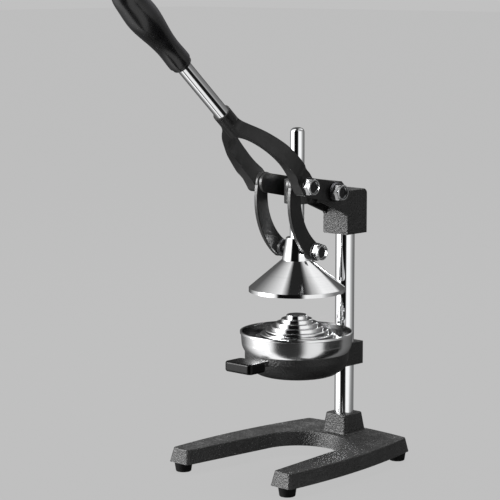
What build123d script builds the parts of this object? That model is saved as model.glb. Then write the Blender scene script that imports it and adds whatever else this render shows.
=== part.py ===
from build123d import *
import math
import os

# ---------------------------------------------------------------------------
# Hand-lever citrus press.  Millimetres, +Z up.  The front (lever, cups) faces
# -Y, the column stands at the back, +X is the right side.  The origin is on
# the floor, at the middle of the press's footprint with the lever raised.
# ---------------------------------------------------------------------------

# --- places of the three vertical axes and the floor levels ----------------
COLUMN_Y = 162.6             # column axis, behind the origin
PRESS_Y = COLUMN_Y - 82.8    # axis of the cone, the rod, the strainer and the funnel
FOOT_TOP = 10.6              # underside of the base casting
BASE_TOP = 27.0              # top face of the base casting

# --- base -------------------------------------------------------------------
BASE_TAPER = 12.0            # draft of every side face, degrees
TIP_Y = COLUMN_Y - 195.5
TIP_OUTER = 91.4
TIP_INNER = 62.2
SIDE_BULGE = (93.0, COLUMN_Y - 85.0)
REAR_CORNER = (76.4, COLUMN_Y + 26.1)
REAR_BULGE_Y = COLUMN_Y + 32.0
THROAT_SIDE = (50.2, COLUMN_Y - 73.5)
THROAT_BOTTOM_Y = COLUMN_Y - 28.0
INNER_CORNER_X = 55.0        # the base corners farther out than this are rounded
BASE_CORNER = 4.0
BASE_EDGE = 1.8
SOCKET_FOOT = 19.0           # half width of the column socket where it meets the base
SOCKET_HEAD = 15.4           # half width at its top
SOCKET_TOP = 49.4
POCKET_DEPTH = 9.0           # cored pockets under the casting
FOOT_PLACES = [(sx * 78.5, COLUMN_Y - 185.0) for sx in (-1, 1)]
FOOT_PLACES += [(sx * 65.5, COLUMN_Y + 17.5) for sx in (-1, 1)]
FOOT_RADIUS = 10.2
FOOT_RADIUS_FLOOR = 8.6
FOOT_SCREW_RADIUS = 2.5
FOOT_SEAT_DEPTH = 5.0        # sunk seat for the screw head
FOOT_SEAT_RADIUS = 4.6

# --- column -----------------------------------------------------------------
COLUMN_RADIUS = 11.0
COLUMN_BOTTOM = 22.0
COLUMN_TOP = 306.0
COLUMN_BOLT_RADIUS = 5.0
COLUMN_BOLT_TOP = 42.0
COUNTERBORE_TOP = 17.5
COUNTERBORE_RADIUS = 10.5
WASHER_THICKNESS = 1.5

# --- head -------------------------------------------------------------------
HEAD_HALF = 18.0             # half width of the head casting
HEAD_FRONT = COLUMN_Y - 17.3
HEAD_REAR = COLUMN_Y + 17.8
HEAD_BOTTOM = 259.5
HEAD_TOP = 310.6
HEAD_CORNER = 6.0
ARM_TOP = 322.0
ARM_UNDERSIDE = 300.6
ARM_WEB_UNDERSIDE = 302.5
CHEEK = 4.6
GUIDE_RADIUS = 14.5
GUIDE_TOP = 327.0
BUSH_RADIUS = 10.5
SET_SCREW_RADIUS = 4.0
SET_SCREW_LEVELS = (272.0, 294.0)

# --- lever linkage, pivots as (y, z) ------------------------------------------
HEAD_PIVOT = (COLUMN_Y - 43.8, 311.4)
YOKE_PIVOT = (COLUMN_Y - 110.8, 324.0)
HUB_PIVOT = (PRESS_Y, 248.5)
LEVER_ANGLE = 41.9           # lever line above the horizontal, raised
PIVOT_RADIUS = 5.0           # pivot bolts
RUNNING_GAP = 0.08           # radial clearance of a moving fit
PLATE_INNER = 18.3           # rocker plate, |x|
PLATE_OUTER = 21.7
PLATE_END = 11.5
LINK_INNER = 22.0            # curved link, |x|
LINK_OUTER = 27.4
LINK_TOP_BOSS = 12.0
LINK_LOW_BOSS = 9.8
LINK_BOW_EDGE = 60.0         # only the two long edges of the bow are longer than this
EAR_INNER = 27.8             # yoke ear, |x|
EAR_OUTER = 41.5
EAR_RADIUS = 11.0
COLLAR_RADIUS = 10.6
COLLAR_THICKNESS = 5.0
COLLAR_PLAY = 0.3            # side play between a rocker plate and its collar
THIN_WASHER = 1.2
THICK_WASHER = 3.2
WASHER_RADIUS = 10.0
HEX_HEAD_HEIGHT = 6.5
BUTTON_RADIUS = 8.0          # low round bolt heads on the left side
BUTTON_HEIGHT = 3.6
BUTTON_KEY_FLATS = 5.0
NUT_FLATS = 17.0
NUT_HEIGHT = 5.2
NUT_NECK_RADIUS = 8.7
NUT_NECK_HEIGHT = 2.6
NUT_MOUTH_RADIUS = 7.1

# --- lever tube and grip, measured along the lever line from the yoke pivot ----
SOCKET_MOUTH = 125.4
ARM_END = 110.0              # how far along the lever the yoke arms run into the socket
SOCKET_START = 94.0
SOCKET_RADIUS = 10.0
TUBE_RADIUS = 8.0
TUBE_WALL = 1.5
TUBE_START = 106.0
TUBE_END = 296.0
GRIP_START = 204.5
GRIP_LENGTH = 121.0
PIN_RADIUS = 2.0             # cross pin of the tube
TUBE_PIN_PLACE = 116.0

# --- press rod, hub and cone ---------------------------------------------------
ROD_RADIUS = 8.0
ROD_TOP = 385.0
ROD_BOTTOM = 256.5
HUB_TOP = 262.4
HUB_TOP_RADIUS = 12.4
HUB_FOOT = 237.0
HUB_FOOT_RADIUS = 16.6
HUB_PIN_LEVEL = 259.2
HUB_PIN_RADIUS = 1.5
SPACER_INNER = 17.3          # |x| where the spacers on the link bolt start, clear of the hub
SPACER_RADIUS = 9.6
SLOT_REACH = 10.0            # half length of the slot for the link bolt
SLOT_RADIUS = 6.6            # half height of that slot
CONE_RIM_RADIUS = 54.0
CONE_RIM_Z = 201.3
CONE_LIP = 4.2
CONE_TOP_Z = 238.6
CONE_WALL = 1.4
SPIGOT_RADIUS = 6.0
SPIGOT_BOTTOM = 232.6
CONE_NUT_RADIUS = 10.0
CONE_NUT_HEIGHT = 3.0

# --- cup holder, funnel and strainer --------------------------------------------
HOLDER_TOP = 133.7
HOLDER_BOTTOM = 107.5
HOLDER_RADIUS = 58.4
HOLDER_WALL = 3.2
CLAMP_HALF = 16.0
CLAMP_BOTTOM = 107.1
CLAMP_TOP = 133.0
CLAMP_BLEND_RADIUS = 2.5
TAB_FRONT = COLUMN_Y - 181.0
TAB_REAR = COLUMN_Y - 153.3
TAB_HALF = 20.0
TAB_Z = (121.8, 133.3)
TANG_HALF = 10.0             # flat tang of the holder inside the tab
TANG_Z = (124.9, 130.9)
TANG_FRONT = TAB_FRONT + 8.0
TAB_SCREW_RADIUS = 1.5
TAB_SCREW_HEAD = 3.0
FUNNEL_RIM_Z = 156.3
FUNNEL_RIM_RADIUS = 63.9
FUNNEL_WALL = 1.2
SPOUT_RADIUS = 8.0
SPOUT_END = 102.0
FUNNEL_SHOULDER = 58.2      # radius where the funnel sits on the ring's top edge
FLANGE_SEAT = (60.1, 139.8)  # radius and level at which the strainer's flange meets the funnel
STRAINER_FLOOR = 141.0
STRAINER_TOP = 175.0
STRAINER_SKIRT_RADIUS = 47.4
STRAINER_STEPS = 6
STEP_DROP = 4.2
STEP_ROUND = 1.7             # rounding of each ridge
RISER_DRAFT = 0.3
REAMER_TOP_RADIUS = 11.8
SHEET = 1.2
SLOT_COUNT = 36

LEVER_U = (-math.cos(math.radians(LEVER_ANGLE)), math.sin(math.radians(LEVER_ANGLE)))
SIDES = (-1, 1)


# ---------------------------------------------------------------------------
# small helpers
# ---------------------------------------------------------------------------
def bar_x(radius, x_from, x_to, pivot):
    """Round bar along X between two x values, on a pivot given as (y, z)."""
    middle = Location(((x_from + x_to) / 2, pivot[0], pivot[1]), (0, 90, 0))
    return middle * Cylinder(radius, abs(x_to - x_from))


def post(radius, z_from, z_to, x, y):
    """Upright round bar."""
    return Pos(x, y, (z_from + z_to) / 2) * Cylinder(radius, z_to - z_from)


def block(x_span, y_span, z_span):
    """Box between pairs of x, y and z values."""
    centre = [(span[0] + span[1]) / 2 for span in (x_span, y_span, z_span)]
    size = [abs(span[1] - span[0]) for span in (x_span, y_span, z_span)]
    return Pos(*centre) * Box(*size)


def facing_up(face):
    """The same flat face with its normal along +Z."""
    return face if face.faces()[0].normal_at().Z > 0 else -face.faces()[0]


def turned(outline, y=PRESS_Y):
    """Solid of revolution about the upright axis at y from an (r, z) wire."""
    face = make_face(outline)
    return Pos(0, y, 0) * revolve(Plane.XZ * face, Axis.Z)


def side_plate(sketch, x_from, x_to):
    """Extrude a sketch drawn as (y, z) between two x values."""
    low, high = min(x_from, x_to), max(x_from, x_to)
    plane = Plane(origin=(low, 0, 0), x_dir=(0, 1, 0), z_dir=(1, 0, 0))
    return extrude(plane * sketch, high - low)


def on_lever(distance, height=0.0):
    """The (y, z) point at a distance along the lever line and a height above it."""
    y = YOKE_PIVOT[0] + LEVER_U[0] * distance + LEVER_U[1] * height
    z = YOKE_PIVOT[1] + LEVER_U[1] * distance - LEVER_U[0] * height
    return (y, z)


def lever_frame(distance):
    """Location on the lever line whose Z axis points to the grip."""
    y, z = on_lever(distance)
    return Plane(origin=(0, y, z), x_dir=(1, 0, 0), z_dir=(0, *LEVER_U)).location


def lock_nut(x_seat, side, pivot):
    """Hex nut with a round neck, seated at x_seat and pointing outwards."""
    shape = extrude(RegularPolygon(NUT_FLATS / 2, 6, major_radius=False), NUT_HEIGHT)
    shape = chamfer(shape.edges().group_by(Axis.Z)[-1], 0.8)
    neck = Pos(0, 0, NUT_HEIGHT + NUT_NECK_HEIGHT / 2) * Cylinder(NUT_NECK_RADIUS, NUT_NECK_HEIGHT)
    neck = fillet(neck.edges().group_by(Axis.Z)[-1], 0.8)
    mouth = Pos(0, 0, NUT_HEIGHT + NUT_NECK_HEIGHT / 2) * Cylinder(NUT_MOUTH_RADIUS, NUT_NECK_HEIGHT)
    bore = Pos(0, 0, NUT_HEIGHT / 2) * Cylinder(PIVOT_RADIUS, NUT_HEIGHT)
    nut = shape + neck - mouth - bore
    place = Plane(origin=(x_seat * side, *pivot), x_dir=(0, 1, 0), z_dir=(side, 0, 0))
    return place.location * nut


def collar(x_from, x_to, side, pivot, radius=COLLAR_RADIUS):
    """Spacer washer with broken outer edges, between two |x| values."""
    ring = bar_x(radius, side * x_from, side * x_to, pivot)
    ring = chamfer(ring.edges().filter_by(GeomType.CIRCLE), min(0.6, (x_to - x_from) / 4))
    return ring - bar_x(PIVOT_RADIUS, side * x_from, side * x_to, pivot)


def button_head(x_seat, side, pivot):
    """Low round bolt head with a hexagon socket, seated at |x| = x_seat."""
    dome = Pos(0, 0, BUTTON_HEIGHT / 2) * Cylinder(BUTTON_RADIUS, BUTTON_HEIGHT)
    dome = fillet(dome.edges().group_by(Axis.Z)[-1], BUTTON_HEIGHT * 0.6)
    key = Pos(0, 0, BUTTON_HEIGHT - 2.0) * RegularPolygon(BUTTON_KEY_FLATS / 2, 6, major_radius=False)
    head = dome - extrude(key, 2.0)
    place = Plane(origin=(x_seat * side, *pivot), x_dir=(0, 1, 0), z_dir=(side, 0, 0))
    return place.location * head


def hex_head(x_seat, pivot):
    """Hexagon bolt head on the left side, seated at |x| = x_seat."""
    plane = Plane(origin=(-x_seat, *pivot), x_dir=(0, 1, 0), z_dir=(-1, 0, 0))
    head = extrude(plane * RegularPolygon(NUT_FLATS / 2, 6, major_radius=False), HEX_HEAD_HEIGHT)
    return chamfer(head.faces().sort_by(Axis.X)[0].edges(), 0.8)


# ---------------------------------------------------------------------------
# base, feet and column
# ---------------------------------------------------------------------------
def base_outline():
    """Horseshoe plan of the base at its underside."""
    side_x, side_y = SIDE_BULGE
    rear_x, rear_y = REAR_CORNER
    throat_x, throat_y = THROAT_SIDE
    return facing_up(make_face([
        Line((TIP_INNER, TIP_Y), (TIP_OUTER, TIP_Y)),
        ThreePointArc((TIP_OUTER, TIP_Y), (side_x, side_y), (rear_x, rear_y)),
        ThreePointArc((rear_x, rear_y), (0, REAR_BULGE_Y), (-rear_x, rear_y)),
        ThreePointArc((-rear_x, rear_y), (-side_x, side_y), (-TIP_OUTER, TIP_Y)),
        Line((-TIP_OUTER, TIP_Y), (-TIP_INNER, TIP_Y)),
        Line((-TIP_INNER, TIP_Y), (-throat_x, throat_y)),
        ThreePointArc((-throat_x, throat_y), (0, THROAT_BOTTOM_Y), (throat_x, throat_y)),
        Line((throat_x, throat_y), (TIP_INNER, TIP_Y)),
    ]))


def underside_pockets():
    """Cored pockets under the two legs and under the bridge."""
    pockets = []
    for side in SIDES:
        leg = Polyline(
            (side * 69, TIP_Y + 26),
            (side * 84, TIP_Y + 26),
            (side * 85, COLUMN_Y - 62),
            (side * 62, COLUMN_Y - 62),
            close=True,
        )
        bridge = Polyline(
            (side * 27, COLUMN_Y - 20),
            (side * 58, COLUMN_Y - 52),
            (side * 80, COLUMN_Y - 52),
            (side * 78, COLUMN_Y - 2),
            (side * 54, COLUMN_Y + 2),
            (side * 48, COLUMN_Y + 22),
            (side * 27, COLUMN_Y + 22),
            close=True,
        )
        for wire in (leg, bridge):
            core = extrude(facing_up(make_face(wire)), POCKET_DEPTH, taper=4)
            pockets.append(Pos(0, 0, FOOT_TOP) * core)
    return pockets


def make_base():
    height = BASE_TOP - FOOT_TOP
    body = Pos(0, 0, FOOT_TOP) * extrude(base_outline(), height, taper=BASE_TAPER)
    uprights = body.edges().filter_by(lambda e: e.bounding_box().size.Z > height / 2)
    corners = uprights.filter_by(lambda e: abs(e.center().X) > INNER_CORNER_X)
    body = fillet(corners, BASE_CORNER)
    body = fillet(body.edges().group_by(Axis.Z)[-1], BASE_EDGE)
    socket = loft([
        Pos(0, COLUMN_Y, BASE_TOP - 2) * RectangleRounded(2 * SOCKET_FOOT, 2 * SOCKET_FOOT, 5),
        Pos(0, COLUMN_Y, SOCKET_TOP) * RectangleRounded(2 * SOCKET_HEAD, 2 * SOCKET_HEAD, 4),
    ])
    socket = fillet(socket.edges().group_by(Axis.Z)[-1], 1.5)
    body = body + socket
    on_top = body.edges().filter_by(lambda e: abs(e.center().Z - BASE_TOP) < 0.01)
    foot_of_socket = on_top.filter_by(
        lambda e: math.hypot(e.center().X, e.center().Y - COLUMN_Y) < SOCKET_FOOT + 2)
    body = fillet(foot_of_socket, 2.5)
    body -= post(COLUMN_RADIUS, COLUMN_BOTTOM, SOCKET_TOP, 0, COLUMN_Y)
    body -= post(COLUMN_BOLT_RADIUS + 0.3, FOOT_TOP, COLUMN_BOTTOM, 0, COLUMN_Y)
    body -= post(COUNTERBORE_RADIUS, FOOT_TOP, COUNTERBORE_TOP, 0, COLUMN_Y)
    for pocket in underside_pockets():
        body -= pocket
    for x, y in FOOT_PLACES:
        body -= post(FOOT_SCREW_RADIUS, FOOT_TOP, FOOT_TOP + 10, x, y)
    return body


def make_feet():
    """Four tapered rubber feet, each with a sunk seat for its screw."""
    feet = []
    for x, y in FOOT_PLACES:
        foot = Cone(FOOT_RADIUS_FLOOR, FOOT_RADIUS, FOOT_TOP)
        foot = fillet(foot.edges().group_by(Axis.Z)[0], 1.2)
        foot = Pos(x, y, FOOT_TOP / 2) * foot
        foot -= post(FOOT_SCREW_RADIUS, 0, FOOT_TOP, x, y)
        foot -= post(FOOT_SEAT_RADIUS, 0, FOOT_SEAT_DEPTH, x, y)
        feet.append(foot)
    return feet


def make_foot_screws():
    screws = []
    for x, y in FOOT_PLACES:
        head = fillet(Cylinder(FOOT_SEAT_RADIUS - 0.2, 2.6).edges().group_by(Axis.Z)[0], 0.8)
        screw = Pos(x, y, FOOT_SEAT_DEPTH - 1.3) * head
        screw += post(FOOT_SCREW_RADIUS, FOOT_SEAT_DEPTH, FOOT_TOP + 9.0, x, y)
        screw -= block((x - 3.2, x + 3.2), (y - 0.5, y + 0.5), (2.4, 3.4))
        screws.append(screw)
    return screws


def make_column():
    bar = post(COLUMN_RADIUS, COLUMN_BOTTOM, COLUMN_TOP, 0, COLUMN_Y)
    bar = chamfer(bar.edges().filter_by(GeomType.CIRCLE), 0.8)
    return bar - post(COLUMN_BOLT_RADIUS, COLUMN_BOTTOM, COLUMN_BOLT_TOP, 0, COLUMN_Y)


def make_column_bolt():
    head_low = COUNTERBORE_TOP - WASHER_THICKNESS - 5.0
    head = Pos(0, COLUMN_Y, head_low) * extrude(RegularPolygon(8.0, 6, major_radius=False), 5.0)
    return head + post(COLUMN_BOLT_RADIUS, head_low + 5.0, COLUMN_BOLT_TOP, 0, COLUMN_Y)


def make_column_washer():
    disc = post(10.0, COUNTERBORE_TOP - WASHER_THICKNESS, COUNTERBORE_TOP, 0, COLUMN_Y)
    hole = post(COLUMN_BOLT_RADIUS, COUNTERBORE_TOP - WASHER_THICKNESS, COUNTERBORE_TOP, 0, COLUMN_Y)
    return disc - hole


# ---------------------------------------------------------------------------
# head casting, guide bush and its fasteners
# ---------------------------------------------------------------------------
def make_head():
    brow = COLUMN_Y - 28
    profile = Polyline(
        (HEAD_FRONT, HEAD_BOTTOM),
        (HEAD_REAR, HEAD_BOTTOM),
        (HEAD_REAR, HEAD_TOP),
        (COLUMN_Y - 15, HEAD_TOP),
        (brow, ARM_TOP),
        (PRESS_Y, ARM_TOP),
        (PRESS_Y, ARM_UNDERSIDE),
        (COLUMN_Y - 60, ARM_UNDERSIDE),
        (HEAD_FRONT - 1.5, 284.0),
        (HEAD_FRONT, 281.5),
        close=True,
    )
    body = side_plate(make_face(profile), -HEAD_HALF, HEAD_HALF)
    nose = block(
        (GUIDE_RADIUS - 1, HEAD_HALF + 1), (PRESS_Y - 1, PRESS_Y + 14), (ARM_UNDERSIDE - 1, ARM_TOP + 1))
    body = body - nose - mirror(nose, Plane.YZ)
    back_top = body.edges().filter_by(Axis.X).sort_by(lambda e: -(e.center().Y + e.center().Z))[0]
    body = fillet(back_top, HEAD_CORNER)
    long_edges = body.edges().filter_by(lambda e: abs(abs(e.center().X) - HEAD_HALF) < 0.01)
    body = fillet(long_edges.filter_by(lambda e: e.center().Y > HEAD_FRONT + 0.5), 1.2)
    inner = HEAD_HALF - CHEEK
    hollow = (PRESS_Y + GUIDE_RADIUS, HEAD_FRONT)
    body -= block((-inner, inner), hollow, (HEAD_BOTTOM, ARM_WEB_UNDERSIDE))
    body += post(GUIDE_RADIUS, ARM_UNDERSIDE, GUIDE_TOP, 0, PRESS_Y)
    body -= post(BUSH_RADIUS, ARM_UNDERSIDE, GUIDE_TOP, 0, PRESS_Y)
    body -= post(COLUMN_RADIUS, HEAD_BOTTOM, COLUMN_TOP, 0, COLUMN_Y)
    body -= bar_x(PIVOT_RADIUS, -HEAD_HALF, HEAD_HALF, HEAD_PIVOT)
    for level in SET_SCREW_LEVELS:
        body -= Pos(0, (COLUMN_Y + HEAD_REAR) / 2, level) * Rot(90, 0, 0) * Cylinder(
            SET_SCREW_RADIUS, HEAD_REAR - COLUMN_Y)
    return body


def grub_screw(y_tip, y_end, z):
    """Socket set screw along Y, its hexagon socket at y_end."""
    length = y_end - y_tip
    body = Pos(0, (y_tip + y_end) / 2, z) * Rot(90, 0, 0) * Cylinder(SET_SCREW_RADIUS, length)
    key = Plane(origin=(0, y_end, z), z_dir=(0, -1, 0)) * RegularPolygon(2.0, 6, major_radius=False)
    return body - extrude(key, 3.5)


def make_head_set_screws():
    return [grub_screw(COLUMN_Y + COLUMN_RADIUS, HEAD_REAR - 0.4, z) for z in SET_SCREW_LEVELS]


def make_guide_bush():
    bush = post(BUSH_RADIUS, ARM_UNDERSIDE, GUIDE_TOP, 0, PRESS_Y)
    return bush - post(ROD_RADIUS + RUNNING_GAP, ARM_UNDERSIDE, GUIDE_TOP, 0, PRESS_Y)


def make_head_pivot_bolt():
    """Long bolt across the head: hex head on the left, threaded end on the right."""
    seat = PLATE_OUTER + COLLAR_PLAY + COLLAR_THICKNESS
    shank = bar_x(PIVOT_RADIUS, -seat, seat + NUT_HEIGHT, HEAD_PIVOT)
    return shank + hex_head(seat, HEAD_PIVOT)


def make_head_pivot_collars():
    inner = PLATE_OUTER + COLLAR_PLAY
    return [collar(inner, inner + COLLAR_THICKNESS, side, HEAD_PIVOT) for side in SIDES]


def make_head_pivot_nut():
    return lock_nut(PLATE_OUTER + COLLAR_PLAY + COLLAR_THICKNESS, 1, HEAD_PIVOT)


# ---------------------------------------------------------------------------
# lever: yoke, rocker plates, tube and grip
# ---------------------------------------------------------------------------
def yoke_plan():
    """The wishbone seen square to the lever line: x across, y along the line."""
    outer = [
        (SOCKET_RADIUS, 110.0),
        (16.0, 97.0),
        (25.5, 84.0),
        (33.5, 68.0),
        (40.5, 52.0),
        (44.0, 36.0),
        (44.3, 23.0),
        (EAR_OUTER, 11.5),
        (EAR_OUTER, -EAR_RADIUS - 1),
    ]
    inner = [
        (EAR_INNER, -EAR_RADIUS - 1),
        (EAR_INNER, 6.0),
        (30.0, 20.0),
        (31.5, 36.0),
        (31.2, 52.0),
        (27.0, 68.0),
        (17.5, 82.0),
        (0.0, 89.0),
    ]
    lines = []
    for side in SIDES:
        out = [(side * x, s) for x, s in outer]
        inn = [(side * x, s) for x, s in inner]
        lines.append(Spline(*out[:-1], tangents=[(0, -1), (0, -1)]))
        lines.append(Line(out[-2], out[-1]))
        lines.append(Line(out[-1], inn[0]))
        lines.append(Line(inn[0], inn[1]))
        lines.append(Spline(*inn[1:], tangents=[(0, 1), (-side, 0)]))
    lines.append(Line((-SOCKET_RADIUS, ARM_END), (SOCKET_RADIUS, ARM_END)))
    return make_face(lines)


def yoke_side():
    """Side view of an arm: x along the lever line, y above it."""
    back = ((ARM_END, 5.6), (97.0, 8.0), (84.0, 10.8), (68.0, 13.3), (52.0, 13.9), (30.0, 12.6), (9.0, 12.4))
    arm = [
        Spline(*back),
        Line((9.0, 12.4), (0.0, EAR_RADIUS)),
        ThreePointArc((0.0, EAR_RADIUS), (-EAR_RADIUS, 0.0), (0.0, -EAR_RADIUS)),
        ThreePointArc((0.0, -EAR_RADIUS), (20.0, -6.8), (45.0, -4.6)),
        Line((45.0, -4.6), (92.0, -5.5)),
        Line((92.0, -5.5), (ARM_END, -5.6)),
        Line((ARM_END, -5.6), (ARM_END, 5.6)),
    ]
    return make_face(arm)


def make_yoke():
    origin = (0, *YOKE_PIVOT)
    along = (0, *LEVER_U)
    above = (0, LEVER_U[1], -LEVER_U[0])
    plan_plane = Plane(origin=origin, x_dir=(1, 0, 0), z_dir=(0, -above[1], -above[2]))
    side_plane = Plane(origin=origin, x_dir=along, z_dir=(-1, 0, 0))
    plan = extrude(plan_plane * yoke_plan(), 40, both=True)
    side = extrude(side_plane * yoke_side(), 60, both=True)
    arms = plan & side
    length = SOCKET_MOUTH - SOCKET_START
    socket = lever_frame((SOCKET_MOUTH + SOCKET_START) / 2) * Cylinder(SOCKET_RADIUS, length)
    body = arms + socket
    bore = SOCKET_MOUTH - TUBE_START
    body -= lever_frame((SOCKET_MOUTH + TUBE_START) / 2) * Cylinder(TUBE_RADIUS, bore)
    for arm in SIDES:
        body -= bar_x(PIVOT_RADIUS, arm * EAR_INNER, arm * EAR_OUTER, YOKE_PIVOT)
    body -= bar_x(PIN_RADIUS, -SOCKET_RADIUS, SOCKET_RADIUS, on_lever(TUBE_PIN_PLACE))
    return body


def make_rocker_plate(side):
    """Flat bar from the head pivot to the yoke pivot."""
    ends = (Pos(*HEAD_PIVOT) * Circle(PLATE_END)).edges()
    ends += (Pos(*YOKE_PIVOT) * Circle(PLATE_END - 0.5)).edges()
    outline = make_hull(ends)
    outline -= Pos(*HEAD_PIVOT) * Circle(PIVOT_RADIUS + RUNNING_GAP)
    outline -= Pos(*YOKE_PIVOT) * Circle(PIVOT_RADIUS)
    return side_plate(outline, side * PLATE_INNER, side * PLATE_OUTER)


def make_yoke_bolts():
    """A short bolt in each ear: lock nut on the right one, low round head on the left one."""
    right = bar_x(PIVOT_RADIUS, PLATE_INNER, EAR_OUTER + THIN_WASHER + NUT_HEIGHT, YOKE_PIVOT)
    key = Plane(origin=(PLATE_INNER, *YOKE_PIVOT), z_dir=(1, 0, 0)) * RegularPolygon(
        BUTTON_KEY_FLATS / 2, 6, major_radius=False)
    right -= extrude(key, 4.0)
    left = bar_x(PIVOT_RADIUS, -PLATE_INNER, -EAR_OUTER, YOKE_PIVOT)
    left += button_head(EAR_OUTER, -1, YOKE_PIVOT)
    return [left, right]


def make_yoke_washer():
    return collar(EAR_OUTER, EAR_OUTER + THIN_WASHER, 1, YOKE_PIVOT, WASHER_RADIUS)


def make_yoke_nut():
    return lock_nut(EAR_OUTER + THIN_WASHER, 1, YOKE_PIVOT)


def make_lever_tube():
    middle = lever_frame((TUBE_START + TUBE_END) / 2)
    length = TUBE_END - TUBE_START
    tube = middle * Cylinder(TUBE_RADIUS, length) - middle * Cylinder(TUBE_RADIUS - TUBE_WALL, length)
    return tube - bar_x(PIN_RADIUS, -TUBE_RADIUS, TUBE_RADIUS, on_lever(TUBE_PIN_PLACE))


def make_tube_pin():
    return bar_x(PIN_RADIUS, -SOCKET_RADIUS + 0.4, SOCKET_RADIUS - 0.4, on_lever(TUBE_PIN_PLACE))


def make_grip():
    """Moulded grip turned about the lever line, with a stepped collar at its lower end."""
    outline = [
        Line((0, 0), (11.2, 0)),
        Line((11.2, 0), (11.2, 3.0)),
        Line((11.2, 3.0), (12.6, 4.6)),
        Spline(
            (12.6, 4.6),
            (12.2, 24.0),
            (14.0, 46.0),
            (17.5, 76.0),
            (15.8, 98.0),
            (0.0, GRIP_LENGTH),
            tangents=[(0.03, 1), (-1, 0)],
        ),
        Line((0, GRIP_LENGTH), (0, 0)),
    ]
    body = revolve(Plane.XZ * make_face(outline), Axis.Z)
    body = lever_frame(GRIP_START) * body
    bored = TUBE_END - GRIP_START
    return body - lever_frame(GRIP_START + bored / 2) * Cylinder(TUBE_RADIUS, bored)


# ---------------------------------------------------------------------------
# curved links and their bolt
# ---------------------------------------------------------------------------
def make_link(side):
    """Forward-bowed bar from the yoke pivot down to the hub pivot."""
    y = COLUMN_Y
    bow = make_face([
        ThreePointArc((y - 122.8, 322.0), (y - 121.2, 284.4), (y - 92.2, 242.0)),
        Line((y - 92.2, 242.0), (y - 75.6, 255.2)),
        ThreePointArc((y - 75.6, 255.2), (y - 101.8, 286.0), (y - 106.5, 316.0)),
        Line((y - 106.5, 316.0), (y - 122.8, 322.0)),
    ])
    outline = bow + Pos(*YOKE_PIVOT) * Circle(LINK_TOP_BOSS) + Pos(*HUB_PIVOT) * Circle(LINK_LOW_BOSS)
    outline -= Pos(*YOKE_PIVOT) * Circle(PIVOT_RADIUS + RUNNING_GAP)
    outline -= Pos(*HUB_PIVOT) * Circle(PIVOT_RADIUS)
    link = side_plate(outline, side * LINK_INNER, side * LINK_OUTER)
    bow_edges = link.faces().filter_by(Axis.X).edges().filter_by(
        lambda e: e.length > LINK_BOW_EDGE and e.geom_type == GeomType.CIRCLE)
    return chamfer(bow_edges, 0.8)


def make_link_bolt():
    """Bolt through both links and the hub's slot: low round head on the left, end in the lock nut."""
    head_seat = LINK_OUTER + THIN_WASHER
    end = LINK_OUTER + THICK_WASHER + NUT_HEIGHT
    return bar_x(PIVOT_RADIUS, -head_seat, end, HUB_PIVOT) + button_head(head_seat, -1, HUB_PIVOT)


def make_link_washers():
    left = collar(LINK_OUTER, LINK_OUTER + THIN_WASHER, -1, HUB_PIVOT, WASHER_RADIUS)
    right = collar(LINK_OUTER, LINK_OUTER + THICK_WASHER, 1, HUB_PIVOT, WASHER_RADIUS)
    return [left, right]


def make_link_spacers():
    return [collar(SPACER_INNER, LINK_INNER, side, HUB_PIVOT, SPACER_RADIUS) for side in SIDES]


def make_link_nut():
    return lock_nut(LINK_OUTER + THICK_WASHER, 1, HUB_PIVOT)


# ---------------------------------------------------------------------------
# press: rod, hub and cone
# ---------------------------------------------------------------------------
def make_press_rod():
    straight = ROD_TOP - 6.0
    outline = [
        Line((0, ROD_BOTTOM), (ROD_RADIUS, ROD_BOTTOM)),
        Line((ROD_RADIUS, ROD_BOTTOM), (ROD_RADIUS, straight)),
        Spline((ROD_RADIUS, straight), (0, ROD_TOP), tangents=[(0, 1), (-1, 0)]),
        Line((0, ROD_TOP), (0, ROD_BOTTOM)),
    ]
    rod = turned(outline)
    return rod - bar_x(HUB_PIN_RADIUS, -ROD_RADIUS, ROD_RADIUS, (PRESS_Y, HUB_PIN_LEVEL))


def make_hub_pin():
    return bar_x(HUB_PIN_RADIUS, -HUB_TOP_RADIUS, HUB_TOP_RADIUS, (PRESS_Y, HUB_PIN_LEVEL))


def make_hub():
    """Turned, tapered neck that carries the link bolt in a level slot and the cone on its spigot."""
    neck = turned(Polyline(
        (0, HUB_FOOT),
        (HUB_FOOT_RADIUS, HUB_FOOT),
        (HUB_FOOT_RADIUS, HUB_FOOT + 1.6),
        (HUB_TOP_RADIUS, HUB_TOP - 0.8),
        (HUB_TOP_RADIUS - 0.8, HUB_TOP),
        (0, HUB_TOP),
        close=True,
    ))
    body = neck + post(SPIGOT_RADIUS, SPIGOT_BOTTOM, HUB_FOOT, 0, PRESS_Y)
    slot = SlotCenterToCenter(2 * (SLOT_REACH - SLOT_RADIUS), 2 * SLOT_RADIUS)
    body -= side_plate(Pos(*HUB_PIVOT) * slot, -HUB_FOOT_RADIUS, HUB_FOOT_RADIUS)
    body -= post(ROD_RADIUS, ROD_BOTTOM, HUB_TOP, 0, PRESS_Y)
    return body - bar_x(HUB_PIN_RADIUS, -HUB_FOOT_RADIUS, HUB_FOOT_RADIUS, (PRESS_Y, HUB_PIN_LEVEL))


def make_cone():
    """Spun pressing cone with an upright lip, closed by a flat top under the hub."""
    lip_top = CONE_RIM_Z + CONE_LIP
    top = HUB_FOOT
    shoulder = HUB_FOOT_RADIUS + 0.6
    inner_rim = CONE_RIM_RADIUS - CONE_WALL
    shell = turned(Polyline(
        (SPIGOT_RADIUS, top),
        (shoulder, top),
        (CONE_RIM_RADIUS, lip_top),
        (CONE_RIM_RADIUS, CONE_RIM_Z),
        (inner_rim, CONE_RIM_Z),
        (inner_rim, lip_top - 0.7),
        (shoulder - 0.6, top - CONE_WALL),
        (SPIGOT_RADIUS, top - CONE_WALL),
        close=True,
    ))
    return shell


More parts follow.
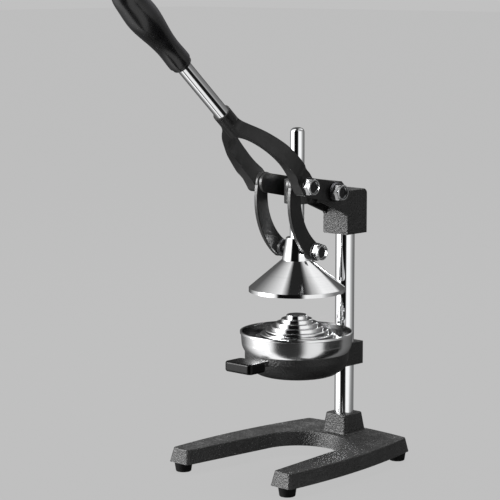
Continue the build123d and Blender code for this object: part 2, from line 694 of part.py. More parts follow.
def make_cone_nut():
    """Flat ring nut that holds the cone up against the hub."""
    high = HUB_FOOT - CONE_WALL
    low = high - CONE_NUT_HEIGHT
    nut = post(CONE_NUT_RADIUS, low, high, 0, PRESS_Y)
    nut = chamfer(nut.edges().group_by(Axis.Z)[0], 0.8)
    nut -= post(SPIGOT_RADIUS, low, high, 0, PRESS_Y)
    notch = block((CONE_NUT_RADIUS - 1.8, CONE_NUT_RADIUS + 1), (-1.2, 1.2), (low - 1, high + 1))
    for angle in (0, 90, 180, 270):
        nut -= Pos(0, PRESS_Y, 0) * Rot(0, 0, angle) * notch
    return nut


# ---------------------------------------------------------------------------
# cup holder, funnel and strainer
# ---------------------------------------------------------------------------
def make_cup_holder():
    """Bowl-shaped ring with a clamp boss behind and a tang in front."""
    outer = [
        Line((HOLDER_RADIUS - HOLDER_WALL, HOLDER_TOP), (HOLDER_RADIUS, HOLDER_TOP)),
        Line((HOLDER_RADIUS, HOLDER_TOP), (HOLDER_RADIUS, 126.0)),
        ThreePointArc((HOLDER_RADIUS, 126.0), (53.3, 115.2), (41.0, HOLDER_BOTTOM)),
        Line((41.0, HOLDER_BOTTOM), (36.0, HOLDER_BOTTOM)),
        Line((36.0, HOLDER_BOTTOM), (36.0, 111.4)),
        ThreePointArc((36.0, 111.4), (50.0, 117.6), (HOLDER_RADIUS - HOLDER_WALL, 127.5)),
        Line((HOLDER_RADIUS - HOLDER_WALL, 127.5), (HOLDER_RADIUS - HOLDER_WALL, HOLDER_TOP)),
    ]
    ring = turned(outer)
    solid = turned([
        Line((0, HOLDER_TOP), (HOLDER_RADIUS - 1, HOLDER_TOP)),
        Line((HOLDER_RADIUS - 1, HOLDER_TOP), (HOLDER_RADIUS - 1, 126.0)),
        ThreePointArc((HOLDER_RADIUS - 1, 126.0), (52.5, 116.0), (40.5, HOLDER_BOTTOM)),
        Line((40.5, HOLDER_BOTTOM), (0, HOLDER_BOTTOM)),
        Line((0, HOLDER_BOTTOM), (0, HOLDER_TOP)),
    ])
    clamp = block(
        (-CLAMP_HALF, CLAMP_HALF), (PRESS_Y + 30, COLUMN_Y + CLAMP_HALF), (CLAMP_BOTTOM, CLAMP_TOP))
    clamp = fillet(clamp.edges().filter_by(Axis.Z), CLAMP_BLEND_RADIUS)
    tang = block((-TANG_HALF, TANG_HALF), (TANG_FRONT, PRESS_Y - 40), TANG_Z)
    fitting = (clamp + tang) - solid
    body = ring + fitting
    body -= post(COLUMN_RADIUS + RUNNING_GAP, CLAMP_BOTTOM - 1, CLAMP_TOP + 1, 0, COLUMN_Y)
    level = (CLAMP_BOTTOM + CLAMP_TOP) / 2
    hole = Rot(90, 0, 0) * Cylinder(SET_SCREW_RADIUS, CLAMP_HALF)
    body -= Pos(0, COLUMN_Y + CLAMP_HALF / 2 + 4, level) * hole
    body -= post(TAB_SCREW_RADIUS, TANG_Z[0] - 1, TANG_Z[1] + 1, 0, (TAB_FRONT + TAB_REAR) / 2)
    return body


def make_clamp_screw():
    level = (CLAMP_BOTTOM + CLAMP_TOP) / 2
    return grub_screw(COLUMN_Y + COLUMN_RADIUS + RUNNING_GAP, COLUMN_Y + CLAMP_HALF - 0.4, level)


def make_holder_handle():
    """Rounded plastic tab pushed over the holder's tang."""
    tab = block((-TAB_HALF, TAB_HALF), (TAB_FRONT, TAB_REAR), TAB_Z)
    tab = fillet(tab.edges().filter_by(Axis.Z), 5.5)
    tab = fillet(tab.edges().group_by(Axis.Z)[-1] + tab.edges().group_by(Axis.Z)[0], 2.4)
    tab -= block((-TANG_HALF, TANG_HALF), (TANG_FRONT, TAB_REAR), TANG_Z)
    middle = (TAB_FRONT + TAB_REAR) / 2
    tab -= post(TAB_SCREW_RADIUS, TAB_Z[0], TANG_Z[0], 0, middle)
    return tab - post(TAB_SCREW_HEAD + 0.1, TAB_Z[0], TAB_Z[0] + 1.4, 0, middle)


def make_handle_screw():
    middle = (TAB_FRONT + TAB_REAR) / 2
    screw = post(TAB_SCREW_HEAD, TAB_Z[0] + 0.1, TAB_Z[0] + 1.4, 0, middle)
    screw += post(TAB_SCREW_RADIUS, TAB_Z[0] + 1.4, TANG_Z[1] - 0.4, 0, middle)
    return screw - block((-2.2, 2.2), (middle - 0.4, middle + 0.4), (TAB_Z[0], TAB_Z[0] + 0.8))


def make_funnel():
    """Spun funnel: rolled rim, upright wall, shoulder on the ring, cone and short spout."""
    rim_low = FUNNEL_RIM_Z - 2.4
    plug = HOLDER_RADIUS - HOLDER_WALL - 0.2
    inner_plug = plug - FUNNEL_WALL
    ledge = HOLDER_TOP + FUNNEL_WALL
    return turned([
        Polyline(
            (FUNNEL_RIM_RADIUS, FUNNEL_RIM_Z),
            (FUNNEL_RIM_RADIUS, rim_low),
            (63.0, rim_low - 0.6),
            (62.2, 144.8),
        ),
        ThreePointArc((62.2, 144.8), (61.3, 139.4), (FUNNEL_SHOULDER, HOLDER_TOP)),
        Polyline((FUNNEL_SHOULDER, HOLDER_TOP), (plug, HOLDER_TOP), (plug, 130.0)),
        ThreePointArc((plug, 130.0), (52.0, 124.6), (46.0, 122.0)),
        Polyline(
            (46.0, 122.0),
            (SPOUT_RADIUS, 109.0),
            (SPOUT_RADIUS, SPOUT_END),
            (SPOUT_RADIUS - FUNNEL_WALL, SPOUT_END),
            (SPOUT_RADIUS - FUNNEL_WALL, 109.8),
            (45.6, 123.2),
        ),
        ThreePointArc((45.6, 123.2), (51.2, 125.7), (inner_plug, 130.2)),
        Polyline((inner_plug, 130.2), (inner_plug, ledge), (FUNNEL_SHOULDER - 0.9, ledge)),
        ThreePointArc((FUNNEL_SHOULDER - 0.9, ledge), FLANGE_SEAT, (61.0, 144.9)),
        Polyline((61.0, 144.9), (61.7, rim_low), (61.7, FUNNEL_RIM_Z), (FUNNEL_RIM_RADIUS, FUNNEL_RIM_Z)),
    ])


def make_strainer():
    """Reamer of rounded ridges on a slotted skirt, with a flat flange that rests in the funnel."""
    skirt = STRAINER_SKIRT_RADIUS
    run = (skirt - REAMER_TOP_RADIUS) / STRAINER_STEPS
    ridges = [
        (REAMER_TOP_RADIUS + step * run, STRAINER_TOP - step * STEP_DROP)
        for step in range(STRAINER_STEPS + 1)
    ]
    outline = [Line((0, STRAINER_TOP), (ridges[0][0] - STEP_ROUND, STRAINER_TOP))]
    under = []
    for (radius, level), (next_radius, next_level) in zip(ridges, ridges[1:]):
        outline.append(ridge_edge(radius, level))
        foot = (radius + RISER_DRAFT, next_level)
        outline.append(Line((radius, level - STEP_ROUND), foot))
        outline.append(Line(foot, (next_radius - STEP_ROUND, next_level)))
        under += [(radius - SHEET, level - SHEET), (foot[0] - SHEET, foot[1] - SHEET)]
    shoulder = ridges[-1][1]
    flange = FLANGE_SEAT[0]
    outline.append(ridge_edge(skirt, shoulder))
    outline.append(Polyline(
        (skirt, shoulder - STEP_ROUND),
        (skirt, STRAINER_FLOOR),
        (flange, STRAINER_FLOOR),
        (flange, STRAINER_FLOOR - SHEET),
        (skirt - SHEET, STRAINER_FLOOR - SHEET),
        (skirt - SHEET, shoulder - SHEET),
        *reversed(under),
        (0, STRAINER_TOP - SHEET),
        (0, STRAINER_TOP),
    ))
    shell = turned(outline)
    slot = block((skirt - 3, skirt + 1.5), (-1.0, 1.0), (STRAINER_FLOOR + 1.0, shoulder - 2.6))
    slots = [Pos(0, PRESS_Y, 0) * Rot(0, 0, turn * 360 / SLOT_COUNT) * slot for turn in range(SLOT_COUNT)]
    return shell - slots


def ridge_edge(radius, level):
    """Quarter-round outer edge of a ridge whose corner would be at (radius, level)."""
    middle = STEP_ROUND * (1 - math.sqrt(0.5))
    return ThreePointArc(
        (radius - STEP_ROUND, level), (radius - middle, level - middle), (radius, level - STEP_ROUND))


# ---------------------------------------------------------------------------
# every node, one file each
# ---------------------------------------------------------------------------
NODES = {
    "base": make_base,
    "rubber_feet": make_feet,
    "foot_screws": make_foot_screws,
    "column": make_column,
    "column_bolt": make_column_bolt,
    "column_washer": make_column_washer,
    "head": make_head,
    "head_set_screws": make_head_set_screws,
    "guide_bush": make_guide_bush,
    "head_pivot_bolt": make_head_pivot_bolt,
    "head_pivot_collars": make_head_pivot_collars,
    "head_pivot_nut": make_head_pivot_nut,
    "cup_holder": make_cup_holder,
    "clamp_screw": make_clamp_screw,
    "holder_handle": make_holder_handle,
    "handle_screw": make_handle_screw,
    "juice_funnel": make_funnel,
    "strainer_reamer": make_strainer,
    "yoke": make_yoke,
    "rocker_plate_left": lambda: make_rocker_plate(-1),
    "rocker_plate_right": lambda: make_rocker_plate(1),
    "yoke_bolts": make_yoke_bolts,
    "yoke_washer": make_yoke_washer,
    "yoke_nut": make_yoke_nut,
    "lever_tube": make_lever_tube,
    "tube_pin": make_tube_pin,
    "lever_grip": make_grip,
    "link_left": lambda: make_link(-1),
    "link_right": lambda: make_link(1),
    "link_bolt": make_link_bolt,
    "link_washers": make_link_washers,
    "link_spacers": make_link_spacers,
    "link_nut": make_link_nut,
    "press_rod": make_press_rod,
    "press_hub": make_hub,
    "hub_pin": make_hub_pin,
    "pressing_cone": make_cone,
    "cone_nut": make_cone_nut,
}


def main():
    os.makedirs("parts", exist_ok=True)
    for name, make in NODES.items():
        made = make()
        solids = made if isinstance(made, list) else [made]
        shape = solids[0] if len(solids) == 1 else Compound(children=solids)
        shape.label = name
        export_step(shape, f"parts/{name}.step")


if __name__ == "__main__":
    main()
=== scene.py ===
import math

import bpy
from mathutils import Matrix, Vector


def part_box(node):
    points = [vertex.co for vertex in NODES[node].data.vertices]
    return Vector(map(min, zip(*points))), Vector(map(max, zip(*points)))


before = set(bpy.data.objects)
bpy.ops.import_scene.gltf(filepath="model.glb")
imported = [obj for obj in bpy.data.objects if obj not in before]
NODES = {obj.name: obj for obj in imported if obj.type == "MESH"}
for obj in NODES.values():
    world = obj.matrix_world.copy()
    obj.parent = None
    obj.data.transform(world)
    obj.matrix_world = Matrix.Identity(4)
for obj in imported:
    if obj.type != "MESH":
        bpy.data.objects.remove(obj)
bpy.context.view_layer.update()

# ---------------------------------------------------------------------------
# Driving values, metres and degrees.  The axes are the CAD's: front is -Y.
# ---------------------------------------------------------------------------
CAMERA_PLACE = (1.4499, -1.5464, 0.5580)
CAMERA_AIM = (-0.07965, 0.08806, 0.23903)
CAMERA_LENS = 141.73
BACKGROUND = 0.533                 # linear grey of the wall and floor
FLOOR_SIZE = 40.0
FLOOR_DROP = 0.0002                # how far the floor lies below the feet
FLOOR_GLOW = 0.96                  # share of the floor's grey that doesn't take shadows
FLOOR_MATT = 0.0015                # grey of the part of the floor that takes shadows
NUT_MOUTH_SHADE_RADIUS = 0.0063                 # radius of the painted shade, in black, in a lock nut's mouth
NUT_DULLING = 0.65                 # lock nuts are duller and rougher than the other fasteners
NUT_EXTRA_ROUGHNESS = 0.12
EDGE_ROUND = 0.0008                # rounding of the castings' sharp edges
SHARP_EDGE = math.radians(50)      # edges that turn more than this are rounded
INSIDE_SHADE_SPAN = (-0.012, -0.004)          # outward facing times radius where the painted shade on a bowl's inside is full, and where it ends
# black of the painted shade in the lock nuts' mouths
MOUTH_SHADE_BLACK = (0.004, 0.004, 0.004, 1)
DARK_CEILING = (0.02, 0.02, 0.02, 1)
LOW_RING = (-0.20, -0.26)          # heights of a direction where the studio's rings change over
HIGH_RING = (0.45, 0.55)
CEILING = (0.945, 0.985)

PRESS_AXIS_Y = sum(v.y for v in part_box("press_rod")) / 2

LOCK_NUTS = ("head_pivot_nut", "yoke_nut", "link_nut")
SOFTENED = ("link_left", "link_right", "rocker_plate_left", "rocker_plate_right", "yoke", "head", "base")
UNREFLECTED = (
    "link_left", "link_right", "link_bolt", "link_washers", "link_spacers", "link_nut",
    "rocker_plate_left", "rocker_plate_right", "yoke", "yoke_bolts", "holder_handle", "cup_holder",
    "lever_tube", "lever_grip",
)


# ---------------------------------------------------------------------------
# node helpers
# ---------------------------------------------------------------------------
class Graph:
    """A node tree with short calls for the nodes used here."""

    def __init__(self, tree):
        self.nodes = tree.nodes
        self.links = tree.links

    def node(self, kind, **settings):
        made = self.nodes.new(kind)
        for name, value in settings.items():
            setattr(made, name, value)
        return made

    def link(self, out, into):
        self.links.new(out, into)

    def feed(self, value, socket):
        """Link a socket, or set a plain value."""
        if isinstance(value, bpy.types.NodeSocket):
            self.links.new(value, socket)
        else:
            socket.default_value = value

    def math(self, operation, a, b=0.0):
        made = self.node("ShaderNodeMath", operation=operation)
        self.feed(a, made.inputs[0])
        self.feed(b, made.inputs[1])
        return made.outputs[0]

    def place(self):
        """Position in the part's own frame, in metres."""
        return self.node("ShaderNodeTexCoord").outputs["Object"]

    def axes(self, vector):
        """The X, Y and Z outputs of a vector."""
        made = self.node("ShaderNodeSeparateXYZ")
        self.link(vector, made.inputs[0])
        return made.outputs

    def stretched(self, vector, factors):
        made = self.node("ShaderNodeMapping")
        self.feed(vector, made.inputs["Vector"])
        made.inputs["Scale"].default_value = factors
        return made.outputs[0]

    def dimmed(self, colour, factor):
        made = self.node("ShaderNodeVectorMath", operation="SCALE")
        self.link(colour, made.inputs[0])
        self.feed(factor, made.inputs["Scale"])
        return made.outputs[0]

    def mix(self, share, none, full):
        """Colour none where share is 0, full where it is 1."""
        made = self.node("ShaderNodeMixRGB")
        self.link(share, made.inputs["Fac"])
        self.feed(none, made.inputs["Color1"])
        self.feed(full, made.inputs["Color2"])
        return made.outputs[0]

    def noise(self, vector, scale, detail, roughness):
        made = self.node("ShaderNodeTexNoise")
        self.feed(vector, made.inputs["Vector"])
        made.inputs["Scale"].default_value = scale
        made.inputs["Detail"].default_value = detail
        made.inputs["Roughness"].default_value = roughness
        return made.outputs["Fac"]

    def cells(self, vector, scale):
        made = self.node("ShaderNodeTexVoronoi", feature="SMOOTH_F1")
        self.feed(vector, made.inputs["Vector"])
        made.inputs["Scale"].default_value = scale
        return made.outputs["Distance"]

    def span(self, value, low, high, to_low, to_high):
        made = self.node("ShaderNodeMapRange")
        self.feed(value, made.inputs["Value"])
        made.inputs["From Min"].default_value = low
        made.inputs["From Max"].default_value = high
        made.inputs["To Min"].default_value = to_low
        made.inputs["To Max"].default_value = to_high
        return made.outputs[0]

    def ramp(self, value, stops):
        """stops are (position, colour) with colour a grey or an rgb triple."""
        made = self.node("ShaderNodeValToRGB")
        self.feed(value, made.inputs["Fac"])
        bar = made.color_ramp
        bar.elements[0].position = stops[0][0]
        bar.elements[1].position = stops[-1][0]
        for position, _ in stops[1:-1]:
            bar.elements.new(position)
        for element, (_, colour) in zip(bar.elements, stops):
            rgb = (colour,) * 3 if isinstance(colour, (int, float)) else colour
            element.color = (*rgb, 1.0)
        return made.outputs["Color"]

    def bump(self, height, distance, strength, under=None):
        made = self.node("ShaderNodeBump")
        made.inputs["Distance"].default_value = distance
        made.inputs["Strength"].default_value = strength
        self.feed(height, made.inputs["Height"])
        if under is not None:
            self.link(under, made.inputs["Normal"])
        return made.outputs[0]


def material(name, build, **sockets):
    """A Principled material: fixed values go straight on its sockets, build adds the nodes."""
    made = bpy.data.materials.new(name)
    made.use_nodes = True
    graph = Graph(made.node_tree)
    shader = graph.nodes["Principled BSDF"]
    for socket, value in sockets.items():
        shader.inputs[socket.replace("_", " ")].default_value = value
    build(graph, shader)
    return made


def dress(node, finish):
    """Give a CAD node its material."""
    slots = NODES[node].data.materials
    slots.clear()
    slots.append(finish)


# ---------------------------------------------------------------------------
# materials
# ---------------------------------------------------------------------------
def cast_coat(graph, shader):
    """Black wrinkle powder coat over a casting: coarse grain that glitters, dusty highs."""
    place = graph.place()
    grain = graph.cells(place, 620.0)
    peel = graph.noise(place, 430.0, 3.0, 0.65)
    wave = graph.noise(place, 35.0, 2.0, 0.5)
    tone = graph.math("ADD", graph.math("MULTIPLY", peel, 0.7), graph.math("MULTIPLY", wave, 0.3))
    graph.link(
        graph.ramp(tone, [(0.32, 0.003), (0.52, 0.008), (0.70, 0.024)]),
        shader.inputs["Base Color"])
    graph.link(graph.span(peel, 0.3, 0.7, 0.34, 0.46), shader.inputs["Roughness"])
    low = graph.bump(wave, 0.0012, 0.6)
    mid = graph.bump(peel, 0.0011, 0.9, low)
    graph.link(graph.bump(grain, 0.0004, 0.7, mid), shader.inputs["Normal"])


def smooth_coat(graph, shader):
    """Thinner black coat of the flat links, plates and yoke."""
    place = graph.place()
    peel = graph.noise(place, 300.0, 3.0, 0.55)
    wave = graph.noise(place, 45.0, 2.0, 0.5)
    graph.link(
        graph.ramp(wave, [(0.3, 0.003), (0.7, 0.007)]),
        shader.inputs["Base Color"])
    graph.link(graph.span(peel, 0.3, 0.7, 0.30, 0.42), shader.inputs["Roughness"])
    low = graph.bump(wave, 0.0016, 0.6)
    graph.link(graph.bump(peel, 0.0003, 0.7, low), shader.inputs["Normal"])


def polished_bar(axis):
    """Chromed bar with faint drawing lines; axis is the scale that stretches them along the bar."""
    def build(graph, shader):
        place = graph.place()
        lines = graph.noise(graph.stretched(place, axis), 900.0, 2.0, 0.6)
        haze = graph.noise(place, 22.0, 3.0, 0.6)
        graph.link(graph.span(haze, 0.35, 0.75, 0.035, 0.085), shader.inputs["Roughness"])
        graph.link(
            graph.ramp(haze, [(0.3, (0.86, 0.87, 0.88)), (0.7, (0.93, 0.935, 0.94))]),
            shader.inputs["Base Color"])
        graph.link(graph.bump(lines, 0.000004, 0.4), shader.inputs["Normal"])
    return build


def spun_sheet(rough_low, rough_high, inside_painted_shade=1.0):
    """Polished spun stainless: fine rings round the press axis, soft wipe marks.

    Its third argument, below 1, darkens the colour of the faces that look towards the axis: painted
    shade inside a bowl.
    """
    def build(graph, shader):
        place = graph.place()
        parts = graph.axes(place)
        shifted = graph.math("SUBTRACT", parts["Y"], PRESS_AXIS_Y)
        across = graph.math("MULTIPLY", parts["X"], parts["X"])
        depth = graph.math("MULTIPLY", shifted, shifted)
        radius = graph.math("SQRT", graph.math("ADD", across, depth))
        ring_place = graph.node("ShaderNodeCombineXYZ")
        graph.link(radius, ring_place.inputs["X"])
        graph.link(parts["Z"], ring_place.inputs["Y"])
        rings = graph.noise(ring_place.outputs[0], 1400.0, 2.0, 0.6)
        wipes = graph.noise(place, 26.0, 3.0, 0.65)
        graph.link(graph.span(wipes, 0.3, 0.75, rough_low, rough_high), shader.inputs["Roughness"])
        tone = graph.math("ADD", graph.math("MULTIPLY", rings, 0.6), graph.math("MULTIPLY", wipes, 0.4))
        steel = graph.ramp(tone, [(0.3, (0.74, 0.745, 0.75)), (0.7, (0.88, 0.88, 0.885))])
        facing = graph.axes(graph.node("ShaderNodeNewGeometry").outputs["Normal"])
        outward = graph.math(
            "ADD",
            graph.math("MULTIPLY", parts["X"], facing["X"]),
            graph.math("MULTIPLY", shifted, facing["Y"]))
        # Painted shade: faces that look towards the axis get a darker colour.
        shade = graph.span(outward, *INSIDE_SHADE_SPAN, inside_painted_shade, 1.0)
        graph.link(graph.dimmed(steel, shade), shader.inputs["Base Color"])
        graph.link(graph.bump(rings, 0.00002, 0.5), shader.inputs["Normal"])
    return build


def plated(graph, shader):
    """Bright plated fastener with light handling marks."""
    place = graph.place()
    marks = graph.noise(place, 160.0, 4.0, 0.6)
    graph.link(graph.span(marks, 0.3, 0.75, 0.07, 0.20), shader.inputs["Roughness"])
    graph.link(
        graph.ramp(marks, [(0.35, (0.74, 0.75, 0.76)), (0.7, (0.88, 0.885, 0.89))]),
        shader.inputs["Base Color"])
    graph.link(graph.bump(marks, 0.00002, 0.6), shader.inputs["Normal"])


def lock_nut(node):
    """Duller than the other plated fasteners, with painted shade: the ring's mouth is coloured black and
    not metallic.
    """
    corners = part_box(node)
    middle = (corners[0] + corners[1]) / 2

    def build(graph, shader):
        plated(graph, shader)
        colour = shader.inputs["Base Color"]
        roughness = shader.inputs["Roughness"]
        bright = colour.links[0].from_socket
        smooth = roughness.links[0].from_socket
        parts = graph.axes(graph.place())
        across = graph.math("SUBTRACT", parts["Y"], middle.y)
        rise = graph.math("SUBTRACT", parts["Z"], middle.z)
        squares = graph.math(
            "ADD",
            graph.math("MULTIPLY", across, across),
            graph.math("MULTIPLY", rise, rise))
        # Inside the mouth radius the colour is painted shade: black, not metallic.
        outside = graph.math("GREATER_THAN", squares, NUT_MOUTH_SHADE_RADIUS ** 2)
        graph.link(graph.mix(outside, MOUTH_SHADE_BLACK, graph.dimmed(bright, NUT_DULLING)), colour)
        graph.link(outside, shader.inputs["Metallic"])
        graph.link(graph.math("ADD", smooth, NUT_EXTRA_ROUGHNESS), roughness)
    return build


def black_oxide(graph, shader):
    """Blackened steel with light handling marks."""
    place = graph.place()
    marks = graph.noise(place, 240.0, 3.0, 0.6)
    graph.link(
        graph.ramp(marks, [(0.3, (0.008, 0.008, 0.009)), (0.75, (0.026, 0.026, 0.028))]),
        shader.inputs["Base Color"])
    graph.link(graph.span(marks, 0.3, 0.7, 0.30, 0.48), shader.inputs["Roughness"])
    graph.link(graph.bump(marks, 0.00004, 0.6), shader.inputs["Normal"])


def bronze(graph, shader):
    """Plain bearing bronze, unevenly dulled."""
    place = graph.place()
    marks = graph.noise(place, 120.0, 4.0, 0.6)
    graph.link(
        graph.ramp(marks, [(0.3, (0.36, 0.24, 0.11)), (0.7, (0.55, 0.39, 0.20))]),
        shader.inputs["Base Color"])
    graph.link(graph.span(marks, 0.3, 0.7, 0.25, 0.45), shader.inputs["Roughness"])


def moulded(rough_low, rough_high, dark, light):
    """Moulded black plastic with a faint flow pattern and fine texture."""
    def build(graph, shader):
        place = graph.place()
        flow = graph.noise(place, 40.0, 3.0, 0.6)
        fine = graph.noise(place, 1500.0, 1.0, 0.5)
        graph.link(graph.ramp(flow, [(0.3, dark), (0.75, light)]), shader.inputs["Base Color"])
        graph.link(graph.span(flow, 0.3, 0.75, rough_low, rough_high), shader.inputs["Roughness"])
        low = graph.bump(flow, 0.0004, 0.3)
        graph.link(graph.bump(fine, 0.00003, 0.5, low), shader.inputs["Normal"])
    return build


def rubber(graph, shader):
    """Matt black rubber with a little dust."""
    place = graph.place()
    fine = graph.noise(place, 900.0, 2.0, 0.6)
    dust = graph.noise(place, 60.0, 3.0, 0.6)
    graph.link(
        graph.ramp(dust, [(0.3, 0.002), (0.75, 0.006)]),
        shader.inputs["Base Color"])
    graph.link(graph.span(fine, 0.3, 0.7, 0.62, 0.80), shader.inputs["Roughness"])
    graph.link(graph.bump(fine, 0.00008, 0.6), shader.inputs["Normal"])


CAST = material("cast_black", cast_coat, Specular_IOR_Level=0.5)
COAT = material("smooth_black", smooth_coat, Specular_IOR_Level=0.5)
CHROME_UPRIGHT = material("chrome_upright", polished_bar((1.0, 1.0, 0.02)), Metallic=1.0)
CHROME_LEVER = material("chrome_lever", polished_bar((1.0, 0.1, 0.1)), Metallic=1.0)
STEEL_CONE = material("stainless_cone", spun_sheet(0.05, 0.10), Metallic=1.0)
# The funnel's inside gets painted shade, down to a quarter of the outside's colour.
STEEL_CUP = material("stainless_cup", spun_sheet(0.17, 0.25, 0.25), Metallic=1.0)
STEEL_REAMER = material("stainless_reamer", spun_sheet(0.08, 0.14), Metallic=1.0)
PLATED = material("bright_plated", plated, Metallic=1.0)
OXIDE = material("black_oxide", black_oxide, Specular_IOR_Level=0.25)
BRONZE = material("plain_bronze", bronze, Metallic=1.0)
GRIP = material(
    "grip_plastic", moulded(0.22, 0.32, (0.008, 0.008, 0.009), (0.014, 0.014, 0.015)),
    Coat_Weight=0.25, Coat_Roughness=0.12)
TAB = material("tab_plastic", moulded(0.20, 0.30, 0.0004, 0.0010), Specular_IOR_Level=0.14)
RUBBER = material("foot_rubber", rubber, Specular_IOR_Level=0.12)

NODE_MATERIALS = {
    CAST: ("base", "head", "cup_holder"),
    COAT: ("yoke", "rocker_plate_left", "rocker_plate_right", "link_left", "link_right"),
    CHROME_UPRIGHT: ("column", "press_rod", "press_hub"),
    CHROME_LEVER: ("lever_tube",),
    STEEL_CONE: ("pressing_cone",),
    STEEL_CUP: ("juice_funnel",),
    STEEL_REAMER: ("strainer_reamer",),
    PLATED: ("foot_screws", "column_bolt", "column_washer", "handle_screw", "hub_pin", "cone_nut"),
    OXIDE: (
        "head_set_screws", "head_pivot_bolt", "head_pivot_collars", "clamp_screw", "yoke_bolts",
        "yoke_washer", "tube_pin", "link_bolt", "link_washers", "link_spacers",
    ),
    BRONZE: ("guide_bush",),
    GRIP: ("lever_grip",),
    TAB: ("holder_handle",),
    RUBBER: ("rubber_feet",),
}
for finish, names in NODE_MATERIALS.items():
    for name in names:
        dress(name, finish)
for name in LOCK_NUTS:
    dress(name, material(name + "_plated", lock_nut(name), Metallic=1.0))

# Polished pieces show the soft boxes, not the linkage and the holder in front of them.
for name in UNREFLECTED:
    NODES[name].visible_glossy = False


def soften(node):
    """Round a casting's sharp edges without leaving its box."""
    rounding = NODES[node].modifiers.new("rounding", "BEVEL")
    rounding.width = EDGE_ROUND
    rounding.segments = 2
    rounding.limit_method = "ANGLE"
    rounding.angle_limit = SHARP_EDGE
    rounding.use_clamp_overlap = True


for name in SOFTENED:
    soften(name)


# ---------------------------------------------------------------------------
# room: camera, world, floor and lights
# ---------------------------------------------------------------------------
def make_camera():
    data = bpy.data.cameras.new("camera")
    data.lens = CAMERA_LENS
    data.sensor_width = 36.0
    data.clip_start = 0.05
    data.clip_end = 200.0
    made = bpy.data.objects.new("camera", data)
    bpy.context.scene.collection.objects.link(made)
    made.location = CAMERA_PLACE
    aim = Vector(CAMERA_AIM) - Vector(CAMERA_PLACE)
    made.rotation_euler = aim.to_track_quat("-Z", "Y").to_euler()
    bpy.context.scene.camera = made


# Brightness of the studio by bearing, as (share of a full turn, brightness).  A bearing runs
# anticlockwise seen from above: 0 is behind the object, 0.25 to the camera's left, 0.5 towards
# the camera and 0.75 to its right.  A black flag in front has broad soft boxes on either side.
STUDIO_BEARINGS = [
    (0.000, 0.08),
    (0.083, 0.12),
    (0.119, 0.30),
    (0.200, 1.00),
    (0.240, 5.50),
    (0.290, 5.50),
    (0.333, 1.50),
    (0.361, 0.60),
    (0.368, 0.045),
    (0.376, 0.004),
    (0.514, 0.004),
    (0.528, 0.045),
    (0.544, 0.60),
    (0.556, 1.05),
    (0.667, 1.00),
    (0.708, 0.51),
    (0.778, 0.22),
    (0.881, 0.16),
    (0.958, 0.06),
]

# The same for directions that run down.
LOW_BEARINGS = [
    (0.000, 0.06),
    (0.110, 0.15),
    (0.240, 1.20),
    (0.340, 1.20),
    (0.370, 0.03),
    (0.520, 0.03),
    (0.560, 0.90),
    (0.650, 0.90),
    (0.662, 0.01),
    (0.790, 0.01),
    (0.810, 0.20),
    (0.960, 0.05),
]

# The same for directions that run steeply up, which the cone and the reamer reflect.
HIGH_BEARINGS = [
    (0.000, 0.06),
    (0.083, 0.12),
    (0.119, 0.30),
    (0.200, 1.00),
    (0.300, 1.40),
    (0.360, 0.50),
    (0.400, 0.02),
    (0.510, 0.02),
    (0.560, 0.60),
    (0.680, 0.30),
    (0.740, 0.15),
    (0.790, 0.45),
    (0.830, 1.10),
    (0.910, 0.90),
    (0.950, 0.10),
]


def make_world():
    """Flat grey wall for the camera; everything else sees the soft boxes and flags."""
    world = bpy.data.worlds.new("studio")
    bpy.context.scene.world = world
    world.use_nodes = True
    graph = Graph(world.node_tree)
    graph.nodes.clear()
    direction = graph.node("ShaderNodeTexCoord").outputs["Generated"]
    front = Vector((CAMERA_PLACE[0] - CAMERA_AIM[0], CAMERA_PLACE[1] - CAMERA_AIM[1]))
    turn = graph.node("ShaderNodeVectorRotate", rotation_type="Z_AXIS")
    graph.link(direction, turn.inputs["Vector"])
    turn.inputs["Angle"].default_value = -math.atan2(front.y, front.x)
    parts = graph.axes(turn.outputs[0])
    bearing = graph.math("ARCTAN2", parts["Y"], parts["X"])
    share = graph.math("ADD", graph.math("DIVIDE", bearing, 2 * math.pi), 0.5)
    ring = graph.ramp(share, STUDIO_BEARINGS)
    low = graph.span(parts["Z"], *LOW_RING, 0.0, 1.0)
    ring = graph.mix(low, ring, graph.ramp(share, LOW_BEARINGS))
    high = graph.span(parts["Z"], *HIGH_RING, 0.0, 1.0)
    ring = graph.mix(high, ring, graph.ramp(share, HIGH_BEARINGS))
    top = graph.span(parts["Z"], *CEILING, 0.0, 1.0)
    studio = graph.node("ShaderNodeBackground")
    graph.link(graph.mix(top, ring, DARK_CEILING), studio.inputs["Color"])
    wall = graph.node("ShaderNodeBackground")
    wall.inputs["Color"].default_value = (BACKGROUND, BACKGROUND, BACKGROUND, 1)
    mix = graph.node("ShaderNodeMixShader")
    graph.link(graph.node("ShaderNodeLightPath").outputs["Is Camera Ray"], mix.inputs[0])
    graph.link(studio.outputs[0], mix.inputs[1])
    graph.link(wall.outputs[0], mix.inputs[2])
    graph.link(mix.outputs[0], graph.node("ShaderNodeOutputWorld").inputs[0])


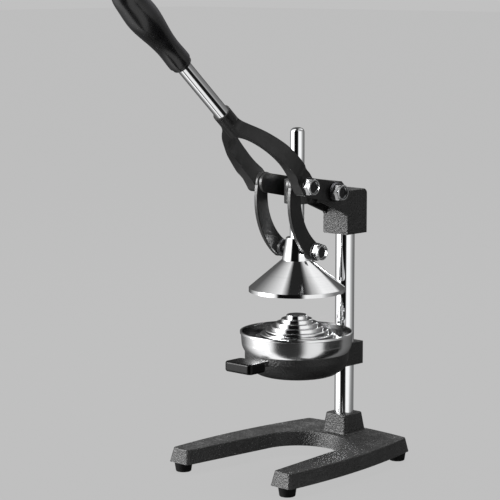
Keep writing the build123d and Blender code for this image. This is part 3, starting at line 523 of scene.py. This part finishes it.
def make_floor():
    """Plain pale floor that runs into the wall, with only a faint shadow.

    It is kept out of the reflections and sends no light up, so the castings' undersides stay dark.
    """
    mesh = bpy.data.meshes.new("floor")
    half = FLOOR_SIZE / 2
    corners = [(-half, -half, 0), (half, -half, 0), (half, half, 0), (-half, half, 0)]
    mesh.from_pydata(corners, [], [(0, 1, 2, 3)])
    floor = bpy.data.objects.new("floor", mesh)
    bpy.context.scene.collection.objects.link(floor)
    floor.location.z = -FLOOR_DROP
    paper = bpy.data.materials.new("floor_paper")
    paper.use_nodes = True
    graph = Graph(paper.node_tree)
    graph.nodes.clear()
    glow = graph.node("ShaderNodeEmission")
    glow.inputs["Color"].default_value = (BACKGROUND, BACKGROUND, BACKGROUND, 1)
    glow.inputs["Strength"].default_value = FLOOR_GLOW
    matt = graph.node("ShaderNodeBsdfDiffuse")
    matt.inputs["Color"].default_value = (FLOOR_MATT, FLOOR_MATT, FLOOR_MATT, 1)
    both = graph.node("ShaderNodeAddShader")
    graph.link(glow.outputs[0], both.inputs[0])
    graph.link(matt.outputs[0], both.inputs[1])
    graph.link(both.outputs[0], graph.node("ShaderNodeOutputMaterial").inputs[0])
    mesh.materials.append(paper)
    floor.visible_glossy = False
    floor.visible_diffuse = False


def area_light(name, place, aim, size, power, in_chrome):
    """A soft rectangular lamp; in_chrome says whether polished pieces show it."""
    data = bpy.data.lights.new(name, "AREA")
    data.shape = "RECTANGLE"
    data.size, data.size_y = size
    data.energy = power
    made = bpy.data.objects.new(name, data)
    bpy.context.scene.collection.objects.link(made)
    made.location = place
    made.rotation_euler = (Vector(aim) - Vector(place)).to_track_quat("-Z", "Y").to_euler()
    made.visible_glossy = in_chrome


make_camera()
make_world()
make_floor()
area_light("front_left", (-1.3, -1.7, 1.1), (0, 0, 0.25), (1.0, 1.2), 85.0, True)
area_light("above", (-0.5, 0.5, 2.2), (0, 0, 0.1), (1.4, 1.4), 520.0, False)

scene = bpy.context.scene
scene.view_settings.view_transform = "Standard"
scene.view_settings.look = "None"
